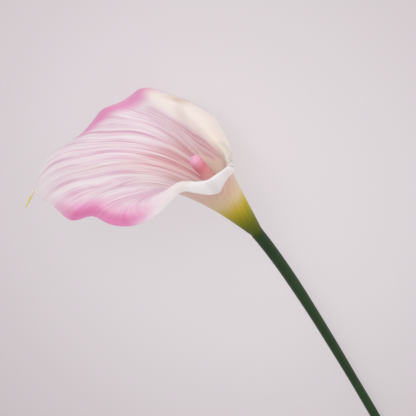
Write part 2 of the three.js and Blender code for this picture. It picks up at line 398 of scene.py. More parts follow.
def ribs(vein, t, v):
    """Low ribs along the veins: three waves of the vein's direction, the first of them wandering.

    They fade toward foot and rim, on the far wall, on the flap and at the very margins.
    """
    wander, length = RIB_WANDER
    bend = (wander * np.sin(vein / length), 0, 0)
    wave = sum(
        share * np.cos(vein / degrees + start + shift)
        for (share, degrees, start), shift in zip(RIB_WAVES, bend)
    )
    fade = rise(t, *RIB_FOOT_WAY) * (1 - RIB_RIM_FADING * rise(t, *RIB_RIM_WAY))
    veined = rise(vein, *RIB_WALL_VEINS) * fall(vein, *RIB_FLAP_VEINS)
    return wave * fade * veined * (1 - np.abs(v) ** RIB_MARGIN_POWER)


def grid_faces(rows, around):
    """Quads between neighbouring rows of a grid whose rows are rings."""
    i, j = np.meshgrid(np.arange(rows - 1), np.arange(around), indexing="ij")
    following = (j + 1) % around
    corners = (
        i * around + j,
        i * around + following,
        (i + 1) * around + following,
        (i + 1) * around + j,
    )
    return np.stack(corners, -1).reshape(-1, 4)


def rod_faces(rows, around):
    """Quads between the rings, and a fan to each of the two end points that follow the rings."""
    low = rows * around
    high = low + 1
    last = low - around
    pairs = [(j, (j + 1) % around) for j in range(around)]
    faces = grid_faces(rows, around).tolist()
    faces += [(low, k, j) for j, k in pairs]
    faces += [(high, last + j, last + k) for j, k in pairs]
    return faces


def rings_along(places, level, upright, radii, turn):
    """Circles carried along a path.

    A point is the path's place, plus its radius times the cosine of its turn in one direction,
    plus its radius times the sine in the other.
    """
    return (
        places[:, None, :]
        + (radii * np.cos(turn))[..., None] * level[:, None, :]
        + (radii * np.sin(turn))[..., None] * upright[:, None, :]
    )


def make_piece(name, points, faces, values, texture, material):
    """A smooth mesh in the row frame, with one float attribute for each value and a UV map."""
    mesh = bpy.data.meshes.new(f"{name}_fine")
    mesh.from_pydata(lay_down(points), [], faces)
    mesh.polygons.foreach_set("use_smooth", np.ones(len(mesh.polygons), bool))
    for key, value in values.items():
        attribute = mesh.attributes.new(key, "FLOAT", "POINT")
        attribute.data.foreach_set("value", np.asarray(value, np.float32).ravel())
    corners = np.zeros(len(mesh.loops), np.int32)
    mesh.loops.foreach_get("vertex_index", corners)
    layer = mesh.uv_layers.new(name="veins")
    layer.data.foreach_set("uv", texture[corners].astype(np.float32).ravel())
    mesh.materials.append(material)
    mesh.validate()
    mesh.update()
    piece = bpy.data.objects.new(f"{name}_fine", mesh)
    bpy.context.scene.collection.objects.link(piece)
    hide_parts(name)
    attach(piece, "root")
    return piece


def spathe_rows():
    """Rows of the grid: even up the tube, then closer toward the tip by a quarter turn's sine."""
    tube = GATHER_FROM * np.arange(TUBE_ROWS) / TUBE_ROWS
    way = np.arange(LIMB_ROWS) / LIMB_ROWS
    limb = GATHER_FROM + (1 - GATHER_FROM) * np.sin(way * np.pi / 2)
    return np.concatenate((tube, limb))


def margin_round(centre, normal, half, beside):
    """Points of half a circle round one margin, from the outer face to the inner one.

    The circle stands on the leaf's normal and on the direction out of the leaf, square to both
    the normal and the margin and away from the column beside it.
    """
    edge = unit(np.gradient(centre, axis=0))
    out = unit(np.cross(edge, normal))
    inward = np.einsum("ij,ij->i", out, centre - beside) < 0
    out[inward] *= -1
    angle = (np.pi / 2) * (1 - 2 * np.arange(1, MARGIN_POINTS + 1) / (MARGIN_POINTS + 1))
    return rings_along(centre, out, normal, half[:, None], angle)


def round_leaf(field):
    """A field of the grid at each point of the rings that spathe_surface makes."""
    last = np.repeat(field[:, -1:], MARGIN_POINTS, 1)
    first = np.repeat(field[:, :1], MARGIN_POINTS, 1)
    return np.concatenate((field, last, field[:, ::-1], first), 1)


def spathe_surface(rib_height):
    """The leaf as rings round its thickness: outer face, outer margin, inner face, inner margin.

    The middle of the leaf is moved along its normal by the lap's spacing times its direction's
    share of a turn, and by the ribs. The two faces lie half the thickness to either side.
    """
    u, v = np.meshgrid(spathe_rows(), np.linspace(-1, 1, COLUMNS + 1), indexing="ij")
    theta, t = vein_place(u, v)
    vein = pigment_direction(np.degrees(theta), t)
    normal = leaf_normal(theta, t)
    closing = LAP_CLOSING * rise(np.abs(v), *LAP_COLUMNS) * rise(t, *LAP_WAY)
    layer = LAP_SPACING * (1 - closing) * theta / (2 * np.pi) + rib_height * ribs(vein, t, v)
    centre = leaf_point(theta, t) + normal * layer[..., None]
    thickness = FOOT_THICKNESS + (RIM_THICKNESS - FOOT_THICKNESS) * t
    half = thickness / 2 * (1 - MARGIN_THINNING * rise(np.abs(v), *MARGIN_COLUMNS))
    outer = centre + normal * half[..., None]
    inner = centre - normal * half[..., None]
    far = margin_round(centre[:, -1], normal[:, -1], half[:, -1], centre[:, -2])
    near = margin_round(centre[:, 0], normal[:, 0], half[:, 0], centre[:, 1])
    ring = np.concatenate((outer, far, inner[:, ::-1], near[:, ::-1]), 1)

    at_margin = np.linspace(0, 1, MARGIN_POINTS)[None, :].repeat(len(u), 0)
    sides = (np.zeros_like(v), at_margin, np.ones_like(v), at_margin[:, ::-1])
    fields = {
        "vein": round_leaf(vein),
        "t": round_leaf(t),
        "theta": round_leaf(np.degrees(theta)),
        "inside": np.concatenate(sides, 1),
    }
    return ring, fields


def spathe_skirt(ring, fields):
    """Rows below the foot: the tube's end narrows until it hugs the stem's neck.

    The radius runs smoothly from the foot's to the neck's with its clearance, and the height
    evenly from the foot's down to the skirt's length.
    """
    foot = ring[0]
    theta = np.radians(fields["theta"][0])
    way = np.arange(SKIRT_ROWS, 0, -1)[:, None] / SKIRT_ROWS
    clearance = SKIRT_CLEARANCE + SKIRT_LAP * (theta / (2 * np.pi) + 0.5)
    target = STEM_NECK_RADIUS + clearance - SKIRT_WALL * fields["inside"][0]
    radius = np.hypot(foot[:, 0], foot[:, 1])
    mixed = radius + (target - radius) * smooth(way * SKIRT_HASTE)
    height = foot[:, 2] * (1 - way) - SKIRT_LENGTH * way
    rows = np.stack((mixed * np.cos(theta), mixed * np.sin(theta), height), -1)
    added = {key: np.repeat(value[:1], SKIRT_ROWS, 0) for key, value in fields.items()}
    added["t"] = np.broadcast_to(SKIRT_WAY * way, mixed.shape)
    return rows, added


def spathe_thread(ring, fields):
    """Narrows the last rows to a round cord and carries it on along a quadratic Bezier."""
    tip = leaf_point(np.zeros(1), np.ones(1))[0]
    normal = leaf_normal(np.zeros(1), np.ones(1))[0]
    start, knee, end = (np.array(place, float) for place in THREAD_PATH)
    way = np.arange(THREAD_ROWS)[:, None] / (THREAD_ROWS - 1)
    line = (1 - way) ** 2 * start + 2 * way * (1 - way) * knee + way**2 * end
    tangent = unit(2 * (1 - way) * (knee - start) + 2 * way * (end - knee))
    across = unit(np.cross(normal, tangent))
    upright = unit(np.cross(tangent, across))
    count = ring.shape[1]
    angle = np.pi / 2 - 2 * np.pi * (np.arange(count) - COLUMNS / 2) / count
    end_area = np.clip(1 - rise(way, THREAD_ROUND_FROM, 1) ** 2, THREAD_END_AREA, 1)
    first, last = THREAD_RADII
    radius = (first + (last - first) * way) * np.sqrt(end_area)
    rings = rings_along(tip + line, across, upright, radius, angle)
    limb_way = np.clip((np.arange(len(ring)) - TUBE_ROWS) / LIMB_ROWS, 0, 1)
    blend = rise(limb_way, THREAD_BLEND_FROM, 1)[:, None, None]
    narrowed = ring * (1 - blend) + rings[0] * blend
    added = {key: np.repeat(value[-1:], THREAD_ROWS, 0) for key, value in fields.items()}
    added["t"] = np.broadcast_to(1 + THREAD_WAY * way, (THREAD_ROWS, count))
    return narrowed, rings, added


def spathe_faces(rows, around):
    """Quads between the rings, a fan at the thread's end, and a strip across the skirt's end.

    The strip joins the outer face to the inner one behind it. The half circles of the two margins
    are closed by a face each.
    """
    faces = grid_faces(rows, around).tolist()
    last = (rows - 1) * around
    faces += [(last + j, last + (j + 1) % around, rows * around) for j in range(around)]
    inner_from = COLUMNS + 1 + MARGIN_POINTS
    behind = range(inner_from + COLUMNS, inner_from - 1, -1)
    faces += [(j, behind[j], behind[j + 1], j + 1) for j in range(COLUMNS)]
    faces.append(list(range(inner_from, COLUMNS - 1, -1)))
    faces.append([0] + list(range(around - 1, behind[0] - 1, -1)))
    return faces


def spathe_piece(settings):
    """The whole leaf: skirt, tube, limb and thread in one closed mesh.

    Its UV map runs over the veins and over the way from foot to rim. Past the lower lobe it is
    swept aside near the rim, by SWEEP degrees times the way over SWEEP_FROM.
    """
    ring, fields = spathe_surface(settings.rib_height / MILLIMETRE)
    skirt, skirt_fields = spathe_skirt(ring, fields)
    ring, thread, thread_fields = spathe_thread(ring, fields)
    points = np.concatenate((skirt, ring, thread))
    fields = {
        key: np.concatenate((skirt_fields[key], value, thread_fields[key]))
        for key, value in fields.items()
    }
    vertices = np.concatenate((points.reshape(-1, 3), thread[-1].mean(0)[None]))

    vein, t, theta = fields["vein"], fields["t"], fields["theta"]
    values = {
        "inside": fields["inside"],
        "height": points[..., 2] / DECIMETRE,
        **spathe_colouring(vein, t, theta),
    }
    values = {key: np.append(value.ravel(), value.ravel()[-1]) for key, value in values.items()}
    swept = vein - SWEEP * np.maximum(t - SWEEP_FROM, 0) * rise(vein, *SWEEP_VEINS)
    low, high = VEIN_SPAN
    texture = np.stack(((swept.ravel() - low) / (high - low), t.ravel()), -1)
    texture = np.concatenate((texture, texture[-1:]))
    faces = spathe_faces(*points.shape[:2])
    return make_piece("spathe", vertices, faces, values, texture, spathe_finish(settings))


def lobe_pink(vein, t):
    """Pink of the two lobes, from 0 to 1.

    The upper lobe's begins at a border that is lowest at vein -66, climbs to both sides, and
    climbs faster past -78.5. It ends between veins -42 and -22. The lower lobe's begins at a
    border that rises from 0.83 to 0.86 of the way, and lies between veins 24 and 85. It is a
    fifth weaker round vein 54.
    """
    upper_border = 0.75 + 0.0024 * np.maximum(vein + 66, 0) + 0.0016 * np.maximum(-66 - vein, 0)
    upper_border = upper_border + 0.0095 * np.maximum(-78.5 - vein, 0)
    upper_veins = fall(vein, -42, -22)
    upper = 0.85 * rise(t, upper_border, upper_border + 0.11) * upper_veins
    lower_border = 0.83 + 0.03 * rise(vein, 38, 58)
    lower_veins = rise(vein, 24, 42) * fall(vein, 63, 85) * (1 - 0.2 * bump(vein, 54, 5))
    lower = rise(t, lower_border, lower_border + 0.13) * lower_veins
    return np.clip(upper + lower, 0, 1)


def rim_pink(vein, t):
    """Darker pink along the very rim: full on the lower lobe, thinner and weaker on the upper."""
    lower_veins = rise(vein, 8, 44) * fall(vein, 64, 80)
    upper_veins = fall(vein, -46, -34) * rise(vein, -88, -82)
    lower = rise(t, 0.93, 0.98) * lower_veins
    upper = 0.7 * rise(t, 0.965, 0.985) * upper_veins
    return np.clip(lower + upper, 0, 1)


def streaked_part(vein, t, theta):
    """Where the veins are coloured at all, from 0 to 1.

    That is between the far wall and the flap, and short of the direction behind the flap. It
    ends at 0.74 to 0.80 of the way on the wall's side, and fades from 0.78 past the lower lobe.
    """
    veined = rise(vein, -84, -70) * fall(vein, 86, 104)
    before_flap = rise(theta, -172, -136)
    wall_rim = rise(t, 0.74, 0.80) * fall(vein, -66, -58)
    lobe_rim = rise(t, 0.78, 0.86) * rise(vein, 62, 76)
    return veined * before_flap * (1 - wall_rim) * (1 - 0.75 * lobe_rim)


def spathe_colouring(vein, t, theta):
    """Where each colour of the leaf lies, from 0 to 1, over vein, way up and direction.

    Each is a product of smooth steps and bells. The low part of the wall lies past vein -45 and
    under half of the way, and higher by 0.004 for each degree past -118. The throat darkens to
    dusky pink, partly its own tone and partly painted shade deep in the recess; the far wall and
    the flap are ivory, and the wall's low part is beige.
    """
    low_top = 0.50 + 0.004 * np.maximum(-theta - 118, 0)
    low_wall = fall(vein, -53, -45) * fall(t, low_top - 0.05, low_top)
    wall = fall(vein, -88, -72)
    far_side = fall(theta, -158, -118) * fall(vein, -62, -58) * (1 - 0.2 * wall)
    deep_top = 0.64 + 0.08 * fall(vein, -64, -56)
    faded_rim = 1 - 0.7 * rise(t, 0.86, 0.98)
    midrib = bump(vein, 6, 3.5) * rise(t, 0.5, 0.6) * fall(t, 0.74, 0.84)
    midrib_end = 0.6 * bump(vein, 4, 8) * rise(t, 0.93, 0.99)
    return {
        "blush": lobe_pink(vein, t),
        "rim": rim_pink(vein, t),
        "pigment": streaked_part(vein, t, theta) * (1 - low_wall) * faded_rim,
        "deep": fall(t, deep_top - 0.12, deep_top),
        # painted shade: the throat darkens deeper down, partly its own dusky pink and partly shade
        # of the recess
        "dusk_and_shade": fall(t, 0.44, 0.60) * fall(vein, -4, 14) * (1 - low_wall),
        # painted shade: the olive band by the lower lobe is partly shade of the crease there
        "olive_and_shade": bump(vein, 18, 5) * fall(t, 0.42, 0.50),
        "plain": np.clip(wall + rise(vein, 75, 103), 0, 1),
        "beige": np.clip(low_wall + 0.3 * wall * fall(vein, -82, -62) + far_side, 0, 1),
        "notch": bump(theta, -88, 9) * rise(t, 0.80, 0.86),
        "midrib": midrib + midrib_end,
        "flap": rise(vein, 96, 112),
        "thread": rise(t, 1.0, 1.05),
    }


def spadix_radius(z):
    """Radius of the spike: a foot that widens exponentially, a belly and a round top."""
    foot = SPADIX_RADIUS - (SPADIX_RADIUS - SPADIX_FOOT_RADIUS) * np.exp(-z / SPADIX_FOOT_LENGTH)
    belly = SPADIX_BELLY * bump(z, FEMALE_ZONE_MIDDLE, FEMALE_ZONE_SPREAD)
    over_top = np.clip((z - (SPADIX_TOP - SPADIX_RADIUS)) / SPADIX_RADIUS, 0, 1)
    return (foot + belly) * np.sqrt(1 - over_top**2)


def spadix_heights():
    """Heights of the rings: even up to the round top, then by the sine of a quarter turn."""
    way = np.arange(SPADIX_ROWS) / SPADIX_ROWS
    straight = SPADIX_TOP - SPADIX_RADIUS
    over = np.clip((way - SPADIX_STRAIGHT_ROWS) / (1 - SPADIX_STRAIGHT_ROWS), 0, 1)
    round_top = straight + SPADIX_RADIUS * np.sin(over * np.pi / 2)
    return np.where(way < SPADIX_STRAIGHT_ROWS, straight * way / SPADIX_STRAIGHT_ROWS, round_top)


def florets(turn, height, left, right, pitch):
    """Crossing spirals of florets, from 0 to 1: the cosines of both spirals' phases, added."""
    up = 2 * np.pi * height / pitch
    raised = np.cos(left * turn + up) + np.cos(right * turn - up)
    return np.clip(0.5 + 0.25 * raised, 0, 1)


def spadix_piece(settings):
    """The spike: a lathe profile whose surface is raised in spiral rows of small florets.

    The relief is the sum of two crossing spiral waves, with more and smaller florets in the
    upper, male zone than in the female zone below it.
    """
    angle = 2 * np.pi * np.arange(SPADIX_SIDES) / SPADIX_SIDES
    height, turn = np.meshgrid(spadix_heights(), angle, indexing="ij")
    male_from = FEMALE_ZONE_MIDDLE + FEMALE_ZONE_SPREAD
    male = rise(height, male_from, male_from + FLORET_ZONE_EDGE)
    small = florets(turn, height, *SMALL_FLORETS)
    large = florets(turn, height, *LARGE_FLORETS)
    relief = (small - 0.5) * male + (large - 0.5) * LARGE_FLORET_HEIGHT * (1 - male)
    fade = smooth((SPADIX_TOP - height) / SPADIX_RADIUS) * rise(height, 0, FLORETS_FULL_AT)
    radius = spadix_radius(height) + relief * fade * settings.floret_relief / MILLIMETRE
    rings = np.stack((radius * np.cos(turn), radius * np.sin(turn), height), -1).reshape(-1, 3)
    vertices = np.concatenate((rings, ((0, 0, 0), (0, 0, SPADIX_TOP))))
    faces = rod_faces(SPADIX_ROWS, SPADIX_SIDES)
    floret = small * male + large * (1 - male)
    values = {
        "height": vertices[:, 2] / DECIMETRE,
        "floret": np.append(floret.ravel(), (0, 0)),
    }
    texture = np.stack((turn.ravel() / (2 * np.pi), height.ravel() / SPADIX_TOP), -1)
    texture = np.concatenate((texture, ((0, 0), (0, 1))))
    return make_piece("spadix", vertices, faces, values, texture, spadix_finish())


def stem_line(s):
    """Places and directions along the stem: it heads down and turns toward one end direction.

    The heading is down mixed with the end direction by 1 - e to the minus length over the bend's
    length. The places are its running sum.
    """
    turned = (1 - np.exp(-s / STEM_BEND_LENGTH))[:, None]
    heading = unit((1 - turned) * np.array((0, 0, -1.0)) + turned * np.array(STEM_END_DIRECTION))
    steps = (heading[1:] + heading[:-1]) / 2 * np.diff(s)[:, None]
    places = np.concatenate((np.zeros((1, 3)), np.cumsum(steps, 0))) + np.array((0, 0, STEM_TOP))
    return places, heading


def eased_edge(distance, radius):
    """How far a quarter-round edge lies inside a stalk's side, at a distance from its end."""
    return radius * (1 - np.sqrt(1 - np.clip(1 - distance / radius, 0, 1) ** 2))


def stem_piece(settings):
    """The stalk: rings round its line, with faint lengthwise ridges and an eased edge at each end.

    The radius tapers evenly, swells a little by two sines of the length, and is raised in ridges
    by two cosines of the turn.
    """
    s = np.linspace(0, STEM_LENGTH, STEM_ROWS)
    s[1:5] = STEM_FIRST_ROWS
    s[-5:-1] = STEM_LENGTH - np.array(STEM_LAST_ROWS)
    places, heading = stem_line(s)
    level = unit(np.cross(np.array((0, 1.0, 0)), heading))
    upright = np.cross(heading, level)
    turn = 2 * np.pi * np.arange(STEM_SIDES) / STEM_SIDES
    taper = np.clip(s / STEM_TAPER_LENGTH, 0, 1)
    radius = STEM_NECK_RADIUS + (STEM_RADIUS - STEM_NECK_RADIUS) * taper
    radius = radius - eased_edge(s, STEM_TOP_EDGE) - eased_edge(STEM_LENGTH - s, STEM_CUT_EDGE)
    ridges = sum(share * np.cos(count * turn + start) for share, count, start in STEM_RIDGES)
    ridges = ridges * settings.ridge_height / MILLIMETRE
    swell = 1 + sum(share * np.sin(s / length + start) for share, length, start in STEM_SWELL)
    radii = (radius * swell)[:, None] + ridges[None, :] * rise(s, 0, RIDGES_FULL_AT)[:, None]
    rings = rings_along(places, level, upright, radii, turn).reshape(-1, 3)
    vertices = np.concatenate((rings, places[:1], places[-1:]))
    faces = rod_faces(STEM_ROWS, STEM_SIDES)
    before_cut = np.zeros((STEM_ROWS - 1) * STEM_SIDES)
    cut = np.concatenate((before_cut, np.ones(STEM_SIDES), (0, 1)))
    along = np.repeat(s, STEM_SIDES) / STEM_LENGTH
    texture = np.stack((np.tile(turn / (2 * np.pi), STEM_ROWS), along), -1)
    texture = np.concatenate((texture, ((0, 0), (0, 1))))
    return make_piece("stem", vertices, faces, {"cut": cut}, texture, stem_finish(settings))


# Finishes

def linear(colour):
    """A colour given as red, green and blue out of 255, as the linear values a shader takes."""
    share = np.array(colour) / 255
    value = np.where(share <= 0.04045, share / 12.92, ((share + 0.055) / 1.055) ** 2.4)
    return (*value.tolist(), 1.0)


class Finish:
    """A material under construction: adds nodes and links them by what they give."""

    def __init__(self, name):
        self.material = bpy.data.materials.new(name)
        self.material.use_nodes = True
        self.tree = self.material.node_tree
        self.shader = self.tree.nodes["Principled BSDF"]

    def node(self, kind, **settings):
        """A new node with these settings."""
        made = self.tree.nodes.new(kind)
        for key, value in settings.items():
            setattr(made, key, value)
        return made

    def join(self, value, socket):
        """Links an output to a socket, or sets the socket where the value is plain."""
        if isinstance(value, bpy.types.NodeSocket):
            self.tree.links.new(value, socket)
        else:
            socket.default_value = value

    def field(self, name):
        """A float attribute of the mesh."""
        return self.node("ShaderNodeAttribute", attribute_name=name).outputs["Fac"]

    def maths(self, operation, first, second, clamp):
        """Two values put together, kept between 0 and 1 where clamp is set."""
        made = self.node("ShaderNodeMath", operation=operation, use_clamp=clamp)
        self.join(first, made.inputs[0])
        self.join(second, made.inputs[1])
        return made.outputs[0]

    def add(self, first, second, clamp=False):
        """The sum of two values."""
        return self.maths("ADD", first, second, clamp)

    def times(self, first, second, clamp=False):
        """The product of two values."""
        return self.maths("MULTIPLY", first, second, clamp)

    def span(self, value, low, high, to_low=0.0, to_high=1.0):
        """A value carried smoothly from one span to another."""
        made = self.node("ShaderNodeMapRange", interpolation_type="SMOOTHSTEP")
        self.join(value, made.inputs["Value"])
        made.inputs["From Min"].default_value = low
        made.inputs["From Max"].default_value = high
        made.inputs["To Min"].default_value = to_low
        made.inputs["To Max"].default_value = to_high
        return made.outputs["Result"]

    def mix(self, share, first, second, blend="MIX"):
        """Two colours mixed by a share of the second."""
        made = self.node("ShaderNodeMix", data_type="RGBA", blend_type=blend)
        self.join(share, made.inputs["Factor"])
        self.join(first, made.inputs[6])
        self.join(second, made.inputs[7])
        return made.outputs[2]

    def ramp(self, value, stops):
        """A colour ramp with these stops of (place, linear colour)."""
        made = self.node("ShaderNodeValToRGB")
        self.join(value, made.inputs["Fac"])
        points = made.color_ramp.elements
        while len(points) < len(stops):
            points.new(0.5)
        for point, (place, colour) in zip(points, stops):
            point.position = place
            point.color = colour
        return made.outputs["Color"]

    def profile(self, across, strengths):
        """Strength over the veins' direction, eased between the places listed."""
        low, high = VEIN_SPAN
        stops = [
            ((vein - low) / (high - low), (strength, strength, strength, 1))
            for vein, strength in strengths
        ]
        made = self.ramp(across, stops)
        made.node.color_ramp.interpolation = "EASE"
        return made

    def space(self):
        """The place in the object's own frame."""
        return self.node("ShaderNodeTexCoord").outputs["Object"]

    def uv(self):
        """The place on the piece's own UV map."""
        return self.node("ShaderNodeUVMap", uv_map="veins").outputs["UV"]

    def noise(self, vector, scale, detail=2.0, roughness=0.5):
        """Noise of this scale over a place."""
        made = self.node("ShaderNodeTexNoise")
        self.join(vector, made.inputs["Vector"])
        made.inputs["Scale"].default_value = scale
        made.inputs["Detail"].default_value = detail
        made.inputs["Roughness"].default_value = roughness
        return made.outputs["Fac"]

    def grain(self, across, along, detail=2.0, roughness=0.5):
        """Noise on the UV map, with this many grains across the veins and along them."""
        made = self.node("ShaderNodeMapping")
        self.join(self.uv(), made.inputs["Vector"])
        made.inputs["Scale"].default_value = (across, along, 1)
        return self.noise(made.outputs["Vector"], 1.0, detail, roughness)

    def relief(self, height, strength, distance):
        """Bumps the surface by a height."""
        made = self.node("ShaderNodeBump")
        self.join(height, made.inputs["Height"])
        made.inputs["Strength"].default_value = strength
        made.inputs["Distance"].default_value = distance
        self.join(made.outputs["Normal"], self.shader.inputs["Normal"])

    def set(self, **sockets):
        """Sets or links the shader's sockets of these names."""
        for key, value in sockets.items():
            self.join(value, self.shader.inputs[key.replace("_", " ")])


def linear_stops(stops):
    """The same stops with their colours as a shader takes them."""
    return [(place, linear(colour)) for place, colour in stops]


def vein_lines(finish, fine, hair):
    """How strong the coloured lines are.

    The veins' strengths, as the limb or the throat has them, wander a little and are added to
    fine and hair-fine grains. The sum is broken up lengthwise and kept to the streaked part.
    """
    deep = finish.field("deep")
    place = finish.node("ShaderNodeSeparateXYZ")
    finish.join(finish.uv(), place.inputs[0])
    wander = finish.span(finish.grain(16, 3.5), 0.3, 0.7, to_low=-0.002, to_high=0.002)
    across = finish.add(place.outputs["X"], wander)
    limb = finish.profile(across, LIMB_VEINS)
    throat = finish.profile(across, THROAT_VEINS)
    lines = finish.times(finish.mix(deep, limb, throat), 0.72)
    lines = finish.add(lines, finish.span(fine, 0.47, 0.68, to_high=0.5))
    lines = finish.add(lines, finish.span(hair, 0.45, 0.65, to_high=0.4))
    breaks = finish.span(finish.grain(34, 7), 0.3, 0.6, to_low=0.6)
    lines = finish.times(lines, breaks)
    lines = finish.times(lines, finish.span(deep, 0.0, 1.0, to_low=1.0, to_high=0.95))
    return finish.times(lines, finish.field("pigment"), True)


def spathe_inside(finish, settings, fine, hair):
    """Colour of the leaf's inside: tints laid over the pale limb, then veins, pink and rim."""
    # painted shade: the dusky throat colour is partly the shade deep in the recess
    base = finish.mix(finish.field("dusk_and_shade"), settings.limb, settings.throat)
    for name, strength, tint in (
        # painted shade in part: the olive band darkens the crease by the lower lobe
        ("olive_and_shade", 0.5, linear(OLIVE_STREAK_AND_SHADE)),
        ("plain", 1.0, settings.ivory),
        ("beige", 1.0, linear(BEIGE_WALL)),
        ("flap", 1.0, settings.flap),
        ("notch", 0.75, linear(NOTCH_SHADE)),
        ("midrib", 0.35, linear(PALE_MIDRIB)),
    ):
        base = finish.mix(finish.times(finish.field(name), strength), base, tint)
    vein_colour = finish.mix(finish.field("deep"), settings.veins, settings.throat_veins)
    base = finish.mix(vein_lines(finish, fine, hair), base, vein_colour)
    pink = finish.field("blush")
    streak = finish.span(hair, 0.3, 0.7, to_low=-0.12, to_high=0.12)
    pink = finish.add(pink, finish.times(streak, pink), True)
    base = finish.mix(pink, base, settings.blush)
    return finish.mix(finish.times(finish.field("rim"), 0.48), base, linear(RIM_LINE))


def spathe_outside(finish, settings, fine):
    """Colour of the leaf's outside: green at the foot, then gold and pale pink, finely lined."""
    ragged = finish.span(fine, 0.3, 0.7, to_low=-0.03, to_high=0.03)
    height = finish.add(finish.field("height"), ragged)
    base = finish.ramp(finish.add(height, OUTSIDE_START), linear_stops(OUTSIDE_COLOURS))
    lines = finish.span(fine, 0.45, 0.7, to_high=0.35)
    base = finish.mix(lines, base, linear(OUTER_LINES), "MULTIPLY")
    return finish.mix(finish.times(finish.field("blush"), 0.8), base, settings.blush)


def spathe_finish(settings):
    """Waxy leaf: pale pink with mauve veins, a pink rim and an ivory side, green at the foot."""
    finish = Finish("spathe waxy leaf")
    fine = finish.grain(110, 2.4, roughness=0.6)
    hair = finish.grain(260, 3.5, detail=1.0)
    inner = spathe_inside(finish, settings, fine, hair)
    outer = spathe_outside(finish, settings, fine)
    base = finish.mix(finish.field("inside"), outer, inner)
    base = finish.mix(finish.field("thread"), base, settings.thread)
    finish.relief(finish.add(fine, finish.noise(finish.space(), 900)), 0.10, 0.0003)
    finish.set(
        Base_Color=base,
        Roughness=0.5,
        Specular_IOR_Level=0.3,
        Subsurface_Weight=0.9,
        Subsurface_Radius=(0.88, 0.85, 0.85),
        Subsurface_Scale=0.0025,
    )
    return finish.material


def spadix_finish():
    """Matt and finely grained, light pink at the tip and coral lower down; the tip's light pink is
    partly a painted highlight, and the gaps between the florets hold painted shade.
    """
    finish = Finish("spadix florets")
    # painted highlight: the ramp's light pink top is partly the light on the round tip
    base = finish.ramp(finish.field("height"), linear_stops(SPADIX_COLOURS))
    speckle = finish.noise(finish.space(), 1500, 3.0, 0.6)
    base = finish.mix(finish.span(speckle, 0.45, 0.7, to_high=0.3), base, linear(FLORET_GRAIN))
    # painted shade in the gaps between the florets, where the relief is low
    gap_shade = finish.span(finish.field("floret"), 0.1, 0.5, to_low=0.35, to_high=0.0)
    base = finish.mix(gap_shade, base, linear(FLORET_GAP_SHADE))
    finish.relief(speckle, 0.3, 0.0002)
    finish.set(
        Base_Color=base,
        Roughness=0.7,
        Subsurface_Weight=0.2,
        Subsurface_Radius=(1.0, 0.4, 0.4),
        Subsurface_Scale=0.001,
    )
    return finish.material


def stem_finish(settings):
    """Smooth satin green with faint lengthwise lines, and a pale cut end."""
    finish = Finish("stem skin")
    lines = finish.grain(60, 2.0, roughness=0.6)
    patches = finish.noise(finish.space(), 60, 3.0)
    base = finish.mix(finish.span(lines, 0.35, 0.7), settings.stem, linear(STEM_LINES))
    base = finish.mix(finish.span(patches, 0.4, 0.7, to_high=0.4), base, linear(STEM_PATCHES))
    dots = finish.node("ShaderNodeTexVoronoi")
    finish.join(finish.space(), dots.inputs["Vector"])
    dots.inputs["Scale"].default_value = 1400
    between = finish.span(dots.outputs["Distance"], 0.2, 0.5)
    pith = finish.mix(between, linear(PITH), linear(PALE_PITH))
    base = finish.mix(finish.field("cut"), base, pith)
    finish.relief(lines, 0.15, 0.0002)
    finish.set(
        Base_Color=base,
        Roughness=0.4,
        Specular_IOR_Level=0.35,
        Subsurface_Weight=0.05,
        Subsurface_Radius=(0.5, 1.0, 0.3),
        Subsurface_Scale=0.001,
    )
    return finish.material


def floor_finish(settings):
    """Plain pale paper that gives some light by itself, with a painted pool of light: darker away
    from its middle.
    """
    finish = Finish("studio paper")
    reach = finish.node("ShaderNodeVectorMath", operation="DISTANCE")
    finish.join(finish.space(), reach.inputs[0])
    reach.inputs[1].default_value = (*settings.light_pool_middle, 0)
    # painted light: a pool of light painted on the paper, darker with distance from its middle
    away = finish.span(reach.outputs["Value"], *FLOOR_FADE)
    base = finish.mix(away, settings.floor, settings.floor_edge)
    finish.relief(finish.noise(finish.space(), 900, 3.0, 0.6), 0.03, 0.0002)
    finish.set(
        Base_Color=base,
        Emission_Color=base,
        Emission_Strength=settings.glow,
        Roughness=0.9,
        Specular_IOR_Level=0.2,
    )
    return finish.material


# Settings

def colour_setting(name, description, colour):
    """A colour that a user can change, with its default out of 255."""
    return bpy.props.FloatVectorProperty(
        name=name, description=description, subtype="COLOR", size=4, min=0, max=1,
        default=linear(colour))


class CallaSpatheSettings(bpy.types.PropertyGroup):
    """The spathe's relief and colours"""
    rib_height: bpy.props.FloatProperty(
        name="Rib height", description="Height of the low ribs along the veins",
        default=0.06 * MILLIMETRE, min=0, max=0.001, unit="LENGTH", precision=5)
    limb: colour_setting("Limb", "Pale ground of the limb's inside", (240, 231, 233))
    veins: colour_setting("Veins", "Mauve lines along the limb's veins", (213, 174, 193))
    # painted shade: the throat colour is partly shade deep in the recess
    throat: colour_setting("Throat", "Dusky pink down in the throat", (232, 215, 212))
    throat_veins: colour_setting("Throat veins", "Lines along the throat's veins", (202, 146, 154))
    ivory: colour_setting("Ivory side", "Plain inside beyond the veined part", (238, 231, 225))
    flap: colour_setting("Flap", "White of the front rim, rolled over", (255, 252, 250))
    blush: colour_setting("Blush", "Pink of the rim's lobes", (226, 140, 186))
    thread: colour_setting("Thread", "Pale green end of the tip", (222, 212, 110))


class CallaSpadixSettings(bpy.types.PropertyGroup):
    """The spadix's relief"""
    floret_relief: bpy.props.FloatProperty(
        name="Floret relief", description="How far the florets stand out",
        default=0.16 * MILLIMETRE, min=0, max=0.001, unit="LENGTH", precision=5)


class CallaStemSettings(bpy.types.PropertyGroup):
    """The stem's relief and colour"""
    ridge_height: bpy.props.FloatProperty(
        name="Ridge height", description="Height of the faint lengthwise ridges",
        default=0.04 * MILLIMETRE, min=0, max=0.0005, unit="LENGTH", precision=5)
    stem: colour_setting("Stem", "Dark green of the stalk", (30, 56, 24))


